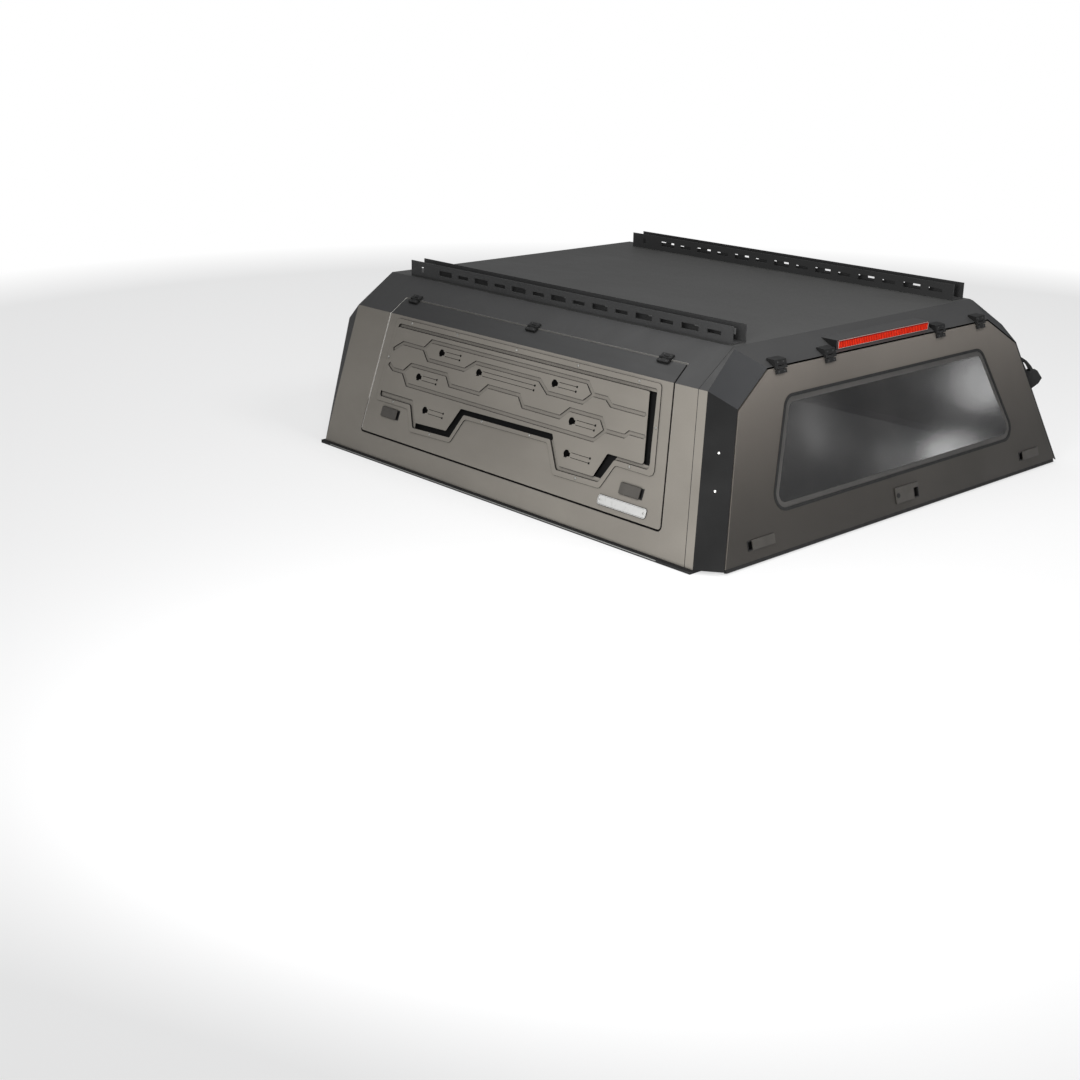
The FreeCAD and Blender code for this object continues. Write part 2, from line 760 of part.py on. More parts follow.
def drawn(flat):
    """A Y and Z outline carried through the left side."""
    return prism([V(-1000, y, z) for y, z in flat], V(700, 0, 0))


def tongue_slit(y, z, end_y):
    """Slit from a keyhole to the square hole at the end of its tongue."""
    return [
        (y - 16, z - 0.8), (end_y, z - 0.8), (end_y, z - 3), (end_y - 6, z - 3),
        (end_y - 6, z + 3), (end_y, z + 3), (end_y, z + 0.8), (y - 16, z + 0.8),
    ]


def press_tool_panel():
    field = drawn(soften(FIELD, 6))
    step = drawn(soften(STEP, 8))
    rim = drawn(soften(RIM, 12))
    deepest = -STEP_TOP + SHEET
    sheet = layer(-FIELD_TOP, deepest).common(rim)
    sheet = sheet.cut(layer(-FIELD_TOP - 1, -RIM_TOP).common(rim.cut(field)))
    sheet = sheet.cut(layer(-FIELD_TOP - 1, -STEP_TOP).common(step.cut(field)))
    under_rim = rim.cut(drawn(inset(STEP, -SHEET)))
    sheet = sheet.cut(layer(SHEET - RIM_TOP, deepest + 1).common(under_rim))
    under_field = drawn(inset(FIELD, SHEET))
    sheet = sheet.cut(layer(SHEET - FIELD_TOP, deepest + 1).common(under_field))
    through = layer(-FIELD_TOP - 1, deepest + 1)
    floor_top = -FIELD_TOP + GROOVE_DEPTH
    formed = layer(SHEET - FIELD_TOP, floor_top + GROOVE_FLOOR)
    for path in GROOVES:
        sheet = sheet.fuse(formed.common(drawn(ribbon(path, GROOVE_WIDTH + 3))))
    groove_layer = layer(-FIELD_TOP - 1, floor_top)
    for path in GROOVES:
        sheet = sheet.cut(groove_layer.common(drawn(ribbon(path, GROOVE_WIDTH))))
    below_face = layer(0, deepest + 1)
    for slot in SLOTS:
        sheet = sheet.cut(through.common(drawn(soften(slot, 4))))
        sheet = sheet.cut(below_face.common(drawn(inset(slot, -2.5))))
    for y, z, end_y in KEYHOLES:
        opening_shape = [(y + dy, z + dz) for dy, dz in KEYHOLE_SHAPE]
        sheet = sheet.cut(through.common(drawn(opening_shape)))
        for dz in (-TONGUE_HALF, TONGUE_HALF):
            sheet = sheet.cut(through.common(drawn(tongue_slit(y, z + dz, end_y))))
    return sheet.removeSplitter()


tool_panel = press_tool_panel()
door_sheet = door_sheet.cut(drawn(inset(STEP, -SHEET)))

save(door_sheet, "door_skin_left")
save(mirror(door_sheet), "door_skin_right")
save(tool_panel, "tool_panel_left")
save(mirror(tool_panel), "tool_panel_right")
save(door_inner, "door_inner_left")
save(mirror(door_inner), "door_inner_right")
arms = Part.makeCompound(door_arms)
save(arms, "door_hinge_arms_left")
save(mirror(arms), "door_hinge_arms_right")
save(latch_pans, "latch_pans_left")
save(mirror(latch_pans), "latch_pans_right")
save(front_latch[1], "door_latch_front_left")
save(rear_latch[1], "door_latch_rear_left")
save(mirror(front_latch[1]), "door_latch_front_right")
save(mirror(rear_latch[1]), "door_latch_rear_right")

# Rubber tool clamp on the right rear corner plate
corner_foot = V(-(HALF_WIDTH + HATCH_FOOT_X) / 2, CORNER_FOOT_Y / 2, 0)
corner_head = (rear_kink + V(-BREAK_X, CORNER_BREAK_Y, BREAK_Z)) * 0.5
corner_up = corner_head - corner_foot
corner_up.normalize()
corner_across = rear_low[0].cross(corner_up)
corner_face = Face(corner_foot, corner_across, corner_up, rear_low[0])
CLAMP_FOOT = 250.0
clamp_profile = [
    (0, 0), (0, 106), (5, 112), (13, 110), (22, 96), (30, 74), (33, 56),
    (37, 52), (44, 50), (50, 20), (34, 8),
]
clamp_hole = [(12, 60), (9, 96), (14, 98), (22, 76), (24, 60)]


def clamp_block(profile, half_width):
    points = [corner_face.point(-half_width, CLAMP_FOOT + b, -a) for a, b in profile]
    return prism(points, corner_across * (2 * half_width))


tool_clamp = clamp_block(clamp_profile, 13.0).cut(clamp_block(clamp_hole, 20.0))
save(mirror(tool_clamp), "tool_clamp")

# Rear hatch
hatch_edge = [
    (-HATCH_FOOT_X, 0.0),
    (HATCH_FOOT_X, 0.0),
    (-rear_kink.x, KINK_Z / hatch_rise),
]
top_corner = meet(rear_high, hatch, rear_shoulder)
hatch_edge.append((-top_corner.x, HATCH_TOP_Z / hatch_rise))
hatch_edge.append((top_corner.x, HATCH_TOP_Z / hatch_rise))
hatch_edge.append((rear_kink.x, KINK_Z / hatch_rise))
hatch_outline = inset(hatch_edge, HATCH_GAP)
hatch_hole, hatch_seal, hatch_glass = window_parts(hatch_face, window_outline(hatch_rise))
hatch_sheet = hatch_face.plate(hatch_outline, 0, SHEET).cut(hatch_hole)
hatch_return = hatch_face.ring(hatch_outline, SHEET, -SHEET, FRAME_DEPTH - SHEET)
hatch_inner = hatch_face.ring(hatch_outline, FRAME_FACE, -FRAME_DEPTH + SHEET, SHEET)
hatch_frame = hatch_return.fuse(hatch_inner).removeSplitter()

left_catch = latch(hatch_face, -663, 45 / hatch_rise, 109, 27, 17)
right_catch = latch(hatch_face, 663, 45 / hatch_rise, 109, 27, 17)
handle = latch(hatch_face, 0, 49 / hatch_rise, 116, 46, 28, -1)
for item in (left_catch, right_catch, handle):
    hatch_sheet = hatch_sheet.cut(item[2])
save(hatch_sheet, "hatch_skin")
save(hatch_frame, "hatch_frame")
save(hatch_seal, "hatch_window_seal")
save(hatch_glass, "hatch_window")
save(Part.makeCompound([left_catch[0], right_catch[0], handle[0]]), "hatch_latch_pans")
save(left_catch[1], "hatch_latch_left")
save(right_catch[1], "hatch_latch_right")
save(handle[1], "hatch_handle")
bottom_seal = [
    (-HATCH_FOOT_X + 12, -5 / hatch_rise),
    (HATCH_FOOT_X - 12, -5 / hatch_rise),
    (HATCH_FOOT_X - 12, HATCH_GAP),
    (-HATCH_FOOT_X + 12, HATCH_GAP),
]
save(hatch_face.plate(bottom_seal, -2, 10), "hatch_bottom_seal")

# Rear hoop behind the hatch
hoop_face = hatch_face.plate([(-1000, -60), (1000, -60), (1000, 700), (-1000, 700)], -27, 3)
hoop = hoop_face.common(inner_block(SHEET))
hoop_hole = [
    (-HATCH_FOOT_X + 60, -80),
    (HATCH_FOOT_X - 60, -80),
    (-rear_kink.x - 50, KINK_Z / hatch_rise),
    (-top_corner.x - 20, 440),
    (top_corner.x + 20, 440),
    (rear_kink.x + 50, KINK_Z / hatch_rise),
]
hoop = hoop.cut(hatch_face.plate(hoop_hole, -20, 20))
hoop = hoop.common(Part.makeBox(3000, 3000, 1000, V(-1500, -500, 0)))
save(hoop, "rear_hoop")

# Roof bows, folded channels that are open towards the roof
bows = []
for bow_y in (520.0, 980.0, 1440.0):
    bow = Part.makeBox(1100, 40, 20, V(-550, bow_y - 20, ROOF_Z - SHEET - 20))
    hollow = Part.makeBox(1096, 36, 19, V(-548, bow_y - 18, ROOF_Z - 20))
    bows.append(bow.common(inner_block(SHEET)).cut(hollow))
save(Part.makeCompound(bows), "roof_bows")

print("shift", -MIDDLE_Y, LIFT)
print("door axis", door_axis)
print("hatch axis", hatch_axis)
print("latch pivots", front_latch[3], rear_latch[3])
print("hatch pivots", left_catch[3], right_catch[3], handle[3])
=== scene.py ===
import json
import math

import bmesh
import bpy
from mathutils import Matrix, Vector


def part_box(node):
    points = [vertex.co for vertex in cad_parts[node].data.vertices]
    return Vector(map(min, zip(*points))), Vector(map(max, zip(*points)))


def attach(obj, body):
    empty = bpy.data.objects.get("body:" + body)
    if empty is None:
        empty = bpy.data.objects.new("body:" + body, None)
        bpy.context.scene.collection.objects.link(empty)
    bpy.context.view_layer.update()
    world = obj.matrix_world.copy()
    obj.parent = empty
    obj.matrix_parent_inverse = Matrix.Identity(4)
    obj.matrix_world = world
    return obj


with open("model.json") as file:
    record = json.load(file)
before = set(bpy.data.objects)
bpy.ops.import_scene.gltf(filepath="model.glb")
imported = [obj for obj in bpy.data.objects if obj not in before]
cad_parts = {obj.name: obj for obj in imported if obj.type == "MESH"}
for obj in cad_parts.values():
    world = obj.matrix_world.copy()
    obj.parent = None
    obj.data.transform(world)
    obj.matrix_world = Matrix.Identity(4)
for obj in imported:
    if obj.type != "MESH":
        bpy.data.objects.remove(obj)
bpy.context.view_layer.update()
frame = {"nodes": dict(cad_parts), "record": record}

# Everything is in metres in the frame of the solids.
NODES = frame["nodes"]

# Driving sizes of the shell, repeated from the part; Y counts from the foot of the hatch
HALF_WIDTH = 0.870
BREAK_X = 0.709
BREAK_Z = 0.430
ROOF_X = 0.568
ROOF_Z = 0.523
HATCH_TOP_Y = 0.132
HATCH_TOP_Z = 0.477
CORNER_FOOT_Y = 0.066
DOOR_SEAM_Z = 0.471
DOOR_HINGE_Y = (0.395, 0.932, 1.492)
HATCH_HINGE_X = (-0.484, -0.268, 0.268, 0.484)
HATCH_GAP = 0.0055
TAIL_SEAM_Y = (0.095, 0.217, 0.224)
BARE_LINE_Y = (0.188, 1.66)
BARE_LINE_Z = 0.0048
BARE_LINE_REACH = 0.0014
BASE_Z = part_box("side_sills")[0].z
HATCH_FOOT_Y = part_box("base_rail")[0].y - CORNER_FOOT_Y

bpy.context.scene.view_settings.view_transform = "Standard"


# Materials
class Nodes:
    """A node tree that is built one call at a time."""

    def __init__(self, name):
        self.material = bpy.data.materials.new(name)
        self.material.use_nodes = True
        self.tree = self.material.node_tree
        self.tree.nodes.clear()
        self.output = self.add("ShaderNodeOutputMaterial")
        self.coords = self.add("ShaderNodeTexCoord").outputs["Object"]

    def add(self, kind, **settings):
        node = self.tree.nodes.new(kind)
        for key, value in settings.items():
            setattr(node, key, value)
        return node

    def link(self, source, target):
        self.tree.links.new(source, target)

    def feed(self, node, values):
        """Set or link the inputs of a node by name or number."""
        for key, value in values.items():
            if isinstance(value, bpy.types.NodeSocket):
                self.link(value, node.inputs[key])
            else:
                node.inputs[key].default_value = value
        return node

    def stretched(self, scale):
        mapping = self.add("ShaderNodeMapping")
        self.feed(mapping, {"Vector": self.coords, "Scale": scale})
        return mapping.outputs["Vector"]

    def noise(self, scale, detail=3.0, stretch=(1, 1, 1), roughness=0.5):
        node = self.add("ShaderNodeTexNoise")
        values = {"Scale": scale, "Detail": detail, "Roughness": roughness}
        self.feed(node, {"Vector": self.stretched(stretch), **values})
        return node.outputs["Fac"]

    def ranged(self, value, low, high, to_low=0.0, to_high=1.0):
        node = self.add("ShaderNodeMapRange")
        self.feed(node, {0: value, 1: low, 2: high, 3: to_low, 4: to_high})
        return node.outputs[0]

    def maths(self, operation, a, b=0.0):
        node = self.add("ShaderNodeMath", operation=operation)
        self.feed(node, {0: a, 1: b})
        return node.outputs[0]

    def mixed(self, factor, a, b, blend="MIX"):
        node = self.add("ShaderNodeMix", data_type="RGBA", blend_type=blend)
        self.feed(node, {0: factor, 6: a, 7: b})
        return node.outputs[2]

    def axis(self, name):
        node = self.add("ShaderNodeSeparateXYZ")
        self.link(self.coords, node.inputs[0])
        return node.outputs[name]

    def bump(self, height, strength, distance):
        node = self.add("ShaderNodeBump")
        self.feed(node, {"Strength": strength, "Distance": distance, "Height": height})
        return node.outputs["Normal"]

    def edges(self, radius):
        """1 on edges and corners, 0 on flats."""
        bevel = self.add("ShaderNodeBevel", samples=4)
        bevel.inputs["Radius"].default_value = radius
        geometry = self.add("ShaderNodeNewGeometry")
        dot = self.add("ShaderNodeVectorMath", operation="DOT_PRODUCT")
        self.feed(dot, {0: bevel.outputs[0], 1: geometry.outputs["Normal"]})
        return self.ranged(dot.outputs["Value"], 0.99, 0.80)

    def painted_crevice_shade(self, distance):
        """Painted shade: low in grooves and gaps, 1 on open faces."""
        node = self.add("ShaderNodeAmbientOcclusion", samples=6)
        node.inputs["Distance"].default_value = distance
        return self.ranged(node.outputs["AO"], 0.60, 0.90, 0.03, 1.0)

    def finish(self, values):
        shader = self.add("ShaderNodeBsdfPrincipled")
        self.feed(shader, values)
        self.link(shader.outputs[0], self.output.inputs[0])
        return self.material


def rgb(red, green, blue):
    """Linear colour from 0 to 255 screen values."""
    def linear(value):
        share = value / 255
        if share <= 0.04045:
            return share / 12.92
        return ((share + 0.055) / 1.055) ** 2.4

    return (linear(red), linear(green), linear(blue), 1.0)


def scaled(colour, factor):
    return (colour[0] * factor, colour[1] * factor, colour[2] * factor, 1.0)


def paint_colour(n, colour, stretch, spread=0.10):
    """Slow cloudy change of colour with fine flake on top."""
    cloud = n.ranged(n.noise(2.2, 4.0, stretch), 0.3, 0.7)
    flake = n.ranged(n.noise(900.0, 1.0), 0.35, 0.65)
    base = n.mixed(cloud, scaled(colour, 1 - spread), scaled(colour, 1 + spread))
    return n.mixed(n.maths("MULTIPLY", flake, 0.10), base, scaled(colour, 1.6))


def paint(
    name,
    colour,
    roughness,
    metallic,
    stretch=(1, 1, 1),
    lip=None,
    painted_crevice_shade=0.0,
    painted_low_shade=0.0,
    specular=0.5,
    spread=0.10,
):
    """Painted sheet steel. Above the break in the side it may take a second colour, partly a
    darker paint and partly painted shade. It may also carry painted shade towards the bottom and
    in grooves, and paler edges that are part wear and part painted highlight.
    """
    n = Nodes(name)
    shown = paint_colour(n, colour, stretch, spread)
    # Painted shade: the colour darkens towards the bottom of the face.
    if painted_low_shade:
        level = n.maths("POWER", n.ranged(n.axis("Z"), BASE_Z, BASE_Z + HATCH_TOP_Z), 2.0)
        shown = n.mixed(level, n.mixed(1.0, shown, scaled((1, 1, 1), 1 - painted_low_shade), "MULTIPLY"), shown)
    # Above the break the side takes the shoulder colour, partly a darker paint and partly painted
    # shade.
    if lip:
        above = n.maths("GREATER_THAN", n.axis("Z"), BASE_Z + BREAK_Z - 0.0005)
        shown = n.mixed(above, shown, paint_colour(n, lip, stretch, spread))
    # Paler edges, part edge wear and part painted highlight.
    edge_wear_and_highlight = n.maths("MULTIPLY", n.edges(0.0010), n.ranged(n.noise(25.0), 0.35, 0.7))
    shown = n.mixed(n.maths("MULTIPLY", edge_wear_and_highlight, 0.4), shown, scaled(colour, 1.8))
    # Painted shade in grooves and gaps.
    if painted_crevice_shade:
        shadow = n.add("ShaderNodeCombineColor")
        depth = n.painted_crevice_shade(painted_crevice_shade)
        n.feed(shadow, {0: depth, 1: depth, 2: depth})
        shown = n.mixed(1.0, shown, shadow.outputs[0], "MULTIPLY")
    smudge = n.noise(6.0, 5.0, stretch)
    gloss = n.ranged(smudge, 0.3, 0.7, roughness - 0.05, roughness + 0.07)
    values = {
        "Base Color": shown,
        "Metallic": metallic,
        "Roughness": gloss,
        "Specular IOR Level": specular,
        "Normal": n.bump(n.noise(420.0, 2.0), 0.12, 0.0004),
    }
    return n.finish(values)


def rubber(name, colour):
    n = Nodes(name)
    dust = n.ranged(n.noise(30.0, 5.0), 0.45, 0.75)
    shown = n.mixed(n.maths("MULTIPLY", dust, 0.35), colour, scaled(colour, 2.6))
    values = {
        "Base Color": shown,
        "Roughness": n.ranged(n.noise(60.0), 0.3, 0.7, 0.62, 0.82),
        "Normal": n.bump(n.noise(700.0, 2.0), 0.3, 0.0004),
    }
    return n.finish(values)


def plastic(name, colour, roughness, specular):
    n = Nodes(name)
    cloud = n.ranged(n.noise(18.0, 3.0), 0.3, 0.7)
    shown = n.mixed(cloud, scaled(colour, 0.88), scaled(colour, 1.12))
    # Paler edges, part edge wear and part painted highlight.
    edge_wear_and_highlight = n.maths("MULTIPLY", n.edges(0.0008), 0.5)
    shown = n.mixed(edge_wear_and_highlight, shown, scaled(colour, 2.2))
    values = {
        "Base Color": shown,
        "Roughness": n.ranged(n.noise(40.0), 0.3, 0.7, roughness - 0.06, roughness + 0.08),
        "Specular IOR Level": specular,
        "Normal": n.bump(n.noise(1500.0, 1.0), 0.25, 0.0002),
    }
    return n.finish(values)


def zinc(name):
    n = Nodes(name)
    cloud = n.ranged(n.noise(300.0, 3.0), 0.3, 0.7)
    shown = n.mixed(cloud, rgb(150, 150, 148), rgb(214, 213, 208))
    values = {
        "Base Color": shown,
        "Metallic": 0.9,
        "Roughness": n.ranged(cloud, 0.0, 1.0, 0.28, 0.42),
        "Normal": n.bump(n.noise(900.0), 0.15, 0.0002),
    }
    return n.finish(values)


def foot_rubber(name):
    """Black rubber with a bare metal line along both sides."""
    n = Nodes(name)
    dust = n.ranged(n.noise(30.0, 5.0), 0.45, 0.75)
    black = n.mixed(n.maths("MULTIPLY", dust, 0.3), rgb(14, 14, 14), rgb(30, 30, 30))
    bare = n.mixed(n.noise(200.0), rgb(120, 120, 118), rgb(150, 150, 147))
    along = n.axis("Y")
    line = n.maths("COMPARE", n.axis("Z"), BARE_LINE_Z)
    line.node.inputs[2].default_value = BARE_LINE_REACH
    inside = n.maths("GREATER_THAN", along, HATCH_FOOT_Y + BARE_LINE_Y[0])
    before = n.maths("LESS_THAN", along, HATCH_FOOT_Y + BARE_LINE_Y[1])
    inside = n.maths("MULTIPLY", inside, before)
    values = {
        "Base Color": n.mixed(n.maths("MULTIPLY", line, inside), black, bare),
        "Roughness": n.ranged(n.noise(60.0), 0.3, 0.7, 0.5, 0.7),
        "Normal": n.bump(n.noise(700.0, 2.0), 0.3, 0.0004),
    }
    return n.finish(values)


def enamel(name):
    n = Nodes(name)
    cloud = n.ranged(n.noise(60.0, 3.0), 0.3, 0.7)
    values = {
        "Base Color": n.mixed(cloud, rgb(186, 186, 184), rgb(190, 190, 188)),
        "Roughness": n.ranged(n.noise(90.0), 0.3, 0.7, 0.25, 0.35),
        "Normal": n.bump(n.noise(900.0), 0.1, 0.0002),
    }
    return n.finish(values)


def smoked_glass(name):
    n = Nodes(name)
    haze = n.ranged(n.noise(2.4, 4.0, (1, 1, 1.6), 0.6), 0.40, 0.75)
    shown = n.mixed(haze, rgb(22, 22, 22), rgb(50, 49, 48))
    values = {
        "Base Color": shown,
        "Roughness": n.ranged(n.noise(8.0), 0.3, 0.7, 0.09, 0.14),
        "Alpha": 0.85,
        "IOR": 1.5,
        "Coat Weight": 0.5,
        "Coat Roughness": 0.11,
    }
    return n.finish(values)


def border_glass(name):
    """Edge band of the pane, paler than its middle: a paler edge colour with painted reflection of
    the surroundings in its curved edge.
    """
    n = Nodes(name)
    haze = n.ranged(n.noise(9.0, 3.0), 0.3, 0.7)
    values = {
        "Base Color": n.mixed(haze, rgb(62, 61, 59), rgb(72, 70, 68)),
        "Roughness": n.ranged(n.noise(30.0), 0.3, 0.7, 0.40, 0.50),
    }
    return n.finish(values)


def red_lens(name):
    """Clear red plastic, deeper red above its ribs, with a painted highlight across each rib and a
    faint painted glow.
    """
    n = Nodes(name)
    top = n.ranged(n.axis("Z"), LENS_TOP - PLAIN_BAND - 0.0005, LENS_TOP - PLAIN_BAND + 0.0005)
    # Painted highlight across each rib.
    valley = n.maths("PINGPONG", n.axis("X"), LENS_RIB_PITCH / 2)
    rib = n.ranged(valley, 0.0, LENS_RIB_PITCH / 2)
    cloud = n.ranged(n.noise(140.0, 2.0, (3, 1, 0.3)), 0.3, 0.7, 0.5, 1.0)
    rib_highlight = n.mixed(n.maths("MULTIPLY", rib, cloud), rgb(104, 4, 2), rgb(255, 62, 30))
    values = {
        "Base Color": n.mixed(top, rib_highlight, rgb(118, 14, 12)),
        "Roughness": n.ranged(n.noise(50.0), 0.3, 0.7, 0.30, 0.42),
        "Specular IOR Level": 0.05,
        # Painted glow: a faint emission with no lamp behind it, to deepen the red.
        "Emission Color": rgb(225, 20, 6),
        "Emission Strength": 0.12,
        "Normal": n.bump(n.noise(600.0), 0.1, 0.0002),
    }
    return n.finish(values)


lens_low, lens_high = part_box("brake_light_lens")
LENS_TOP = lens_high.z
LENS_RIBS = 54
LENS_RIB_PITCH = (lens_high.x - lens_low.x) / LENS_RIBS
PLAIN_BAND = 0.0050
# The taupe of the sides and hatch and the charcoal of the shoulders and roof are partly two paints
# and partly painted light: the sides are drawn paler and the shoulders and roof darker, as the
# light falls on them.
SIDE = rgb(142, 137, 129)
SHOULDER = rgb(59, 59, 59)
HATCH = rgb(123, 117, 110)

# Colour, roughness and metallic share of each paint, with its other settings
PAINTS = {
    "side_paint": (SIDE, 0.42, 0.35, {"stretch": (6, 1, 0.5), "lip": SHOULDER, "painted_crevice_shade": 0.008}),
    "shoulder_paint": (SHOULDER, 0.5, 0.15, {"stretch": (1, 2, 1), "spread": 0.05}),
    # One dark corner paint, as painted light: a lit copy for the upper plates and a shaded copy
    # for the lower plates.
    "corner_lit_paint": (rgb(29, 30, 32), 0.5, 0.1, {"specular": 0.4, "spread": 0.06}),
    "corner_shaded_paint": (rgb(13, 13, 13), 0.65, 0.0, {"specular": 0.2}),
    # Pale cut edges of the door openings: painted highlight.
    "seam_highlight_paint": (rgb(150, 148, 144), 0.5, 0.1, {}),
    "hatch_edge_paint": (rgb(112, 107, 101), 0.5, 0.1, {}),
    # Palest cut edge, in front of each door: painted highlight.
    "front_edge_highlight_paint": (rgb(218, 215, 209), 0.5, 0.1, {}),
    # Painted shade on groove walls and behind each door: near black, lighter where the walls face
    # up.
    "groove_shade_paint": (rgb(12, 12, 11), 0.7, 0.0, {"specular": 0.05}),
    "groove_upward_shade_paint": (rgb(30, 29, 28), 0.6, 0.1, {"specular": 0.1}),
    "front_paint": (rgb(48, 48, 48), 0.5, 0.1, {}),
    # The roof's charcoal is partly its paint and partly painted shade.
    "roof_paint": (rgb(67, 67, 66), 0.55, 0.1, {"stretch": (2, 1, 1), "spread": 0.05}),
    # The hatch darkens towards its foot: painted shade.
    "hatch_paint": (HATCH, 0.42, 0.35, {"stretch": (1, 1, 0.4), "painted_low_shade": 0.77}),
    # Near black on the inner frames and jambs, which really carry the shell's paint: painted shade
    # inside the gaps.
    "frame_paint": (rgb(15, 15, 15), 0.65, 0.0, {"specular": 0.25}),
    "black_coat": (rgb(51, 51, 51), 0.5, 0.0, {}),
    "hinge_coat": (rgb(26, 26, 26), 0.5, 0.0, {"specular": 0.3}),
}

# Colour, roughness and specular level of each plastic
PLASTICS = {
    "deep_black": (rgb(6, 6, 6), 0.7, 0.03),
    "pan_plastic": (rgb(18, 18, 18), 0.5, 0.5),
    "latch_plastic": (rgb(78, 75, 71), 0.45, 0.5),
    "hatch_latch_plastic": (rgb(66, 63, 59), 0.45, 0.5),
    "lens_edge": (rgb(150, 146, 142), 0.3, 0.5),
}
materials = {
    "red_lens": red_lens("red_lens"),
    "smoked_glass": smoked_glass("smoked_glass"),
    "rubber": rubber("rubber", rgb(20, 20, 20)),
    "foot_rubber": foot_rubber("foot_rubber"),
    "zinc": zinc("zinc"),
    "white_enamel": enamel("white_enamel"),
    "border_glass": border_glass("border_glass"),
}
for name, (colour, roughness, metallic, settings) in PAINTS.items():
    materials[name] = paint(name, colour, roughness, metallic, **settings)
for name, (colour, roughness, specular) in PLASTICS.items():
    materials[name] = plastic(name, colour, roughness, specular)

NODE_MATERIALS = {
    "rear_corners": "corner_lit_paint",
    "front_corners": "front_paint",
    "front_wall": "front_paint",
    "hatch_frame": "hatch_paint",
    "hatch_latch_left": "hatch_latch_plastic",
    "hatch_latch_right": "hatch_latch_plastic",
    "hatch_handle": "hatch_latch_plastic",
    "bed_seal": "foot_rubber",
    "door_hinge_leaves": "hinge_coat",
    "door_hinge_arms_left": "hinge_coat",
    "door_hinge_arms_right": "hinge_coat",
    "hatch_hinge_leaves": "hinge_coat",
    "hatch_hinge_straps": "hinge_coat",
    "brake_light_housing": "shoulder_paint",
}
node_slots = {item["node"]: item["material_slot"] for item in frame["record"]["subparts"]}
for node_name, node_object in NODES.items():
    node_object.data.materials.clear()
    chosen = NODE_MATERIALS.get(node_name, node_slots[node_name])
    node_object.data.materials.append(materials[chosen])


def second_material(node_name, material, test):
    """Give the polygons of a node whose normal passes a test another material."""
    mesh = NODES[node_name].data
    mesh.materials.append(materials[material])
    for polygon in mesh.polygons:
        if test(polygon.normal):
            polygon.material_index = len(mesh.materials) - 1


# Outward normal of the right lower corner plate
LOWER_CORNER = Vector((0.728, -0.540, 0.422))

# How nearly a polygon's normal has to point along a direction, as a cosine
SAME_FACE = 0.995
SAME_WAY = 0.95
SIDEWAYS = 0.6


def on_lower_corner(n):
    return abs(Vector((abs(n.x), n.y, n.z)).dot(LOWER_CORNER)) > SAME_FACE


# The lower corner plates take the darker copy of the corner paint: painted shade.
second_material("rear_corners", "corner_shaded_paint", on_lower_corner)
second_material("brake_light_housing", "pan_plastic", lambda n: abs(n.x) > SIDEWAYS)

# Cut edges: painted highlights above and in front of each door, painted shade behind each door;
# round the hatch the edges take a plain hatch colour without its painted shade towards the bottom
SHOULDER_DOWN = Vector((ROOF_X - BREAK_X, 0, BREAK_Z - ROOF_Z)).normalized()


def faces_down_shoulder(n):
    return Vector((-abs(n.x), n.y, n.z)).dot(SHOULDER_DOWN) > SAME_WAY


def faces_rear(n):
    return n.y < -SAME_WAY


second_material("door_jambs", "seam_highlight_paint", faces_down_shoulder)
second_material("door_jambs", "front_edge_highlight_paint", faces_rear)
second_material("cant_rails", "seam_highlight_paint", faces_down_shoulder)
second_material("front_quarters", "front_edge_highlight_paint", faces_rear)
second_material("rear_quarters", "groove_shade_paint", faces_rear)
for node_name in ("hatch_skin", "hatch_frame"):
    second_material(node_name, "hatch_edge_paint", lambda n: abs(n.x) > SIDEWAYS)


# Places on the shell, given as the part's own sizes in metres
def place(x, y, z):
    return Vector((x, y + HATCH_FOOT_Y, z + BASE_Z))


class Face:
    """A sloping outer face, with a point from two distances in it and a height."""

    def __init__(self, origin, across, rise):
        self.origin = place(*origin)
        self.across = Vector(across).normalized()
        self.up = Vector(rise).normalized()
        self.rise = self.up.z
        self.normal = self.up.cross(self.across)
        if self.normal.dot(self.origin - Vector((0, 0, 0.2))) < 0:
            self.normal.negate()

    def at(self, a, z, height=0.0):
        """Point at a distance across the face and a level over the foot."""
        return self.over(a, z / self.rise, height)

    def over(self, a, b, height=0.0):
        """Point at two distances in the face and a height."""
        return self.origin + self.across * a + self.up * b + self.normal * height


hatch_face = Face((0, 0, 0), (1, 0, 0), (0, HATCH_TOP_Y, HATCH_TOP_Z))
side_faces = {
    "left": Face((-HALF_WIDTH, 0, 0), (0, 1, 0), (HALF_WIDTH - BREAK_X, 0, BREAK_Z)),
    "right": Face((HALF_WIDTH, 0, 0), (0, 1, 0), (BREAK_X - HALF_WIDTH, 0, BREAK_Z)),
}

shoulder_faces = {
    hand: Face(
        (sign * BREAK_X, 0, BREAK_Z), (0, 1, 0), (sign * (ROOF_X - BREAK_X), 0, ROOF_Z - BREAK_Z)
    )
    for hand, sign in (("left", -1), ("right", 1))
}

# Painted shade on the walls of the pressed grooves, darkest where they face down or along
GROOVE_WALL = 0.6
GROOVE_UPWARD = 0.35
for hand, face in side_faces.items():
    panel = "tool_panel_" + hand
    second_material(panel, "groove_shade_paint", lambda n: abs(n.dot(face.normal)) < GROOVE_WALL)
    second_material(
        panel,
        "groove_upward_shade_paint",
        lambda n: abs(n.dot(face.normal)) < GROOVE_WALL and n.z > GROOVE_UPWARD,
    )


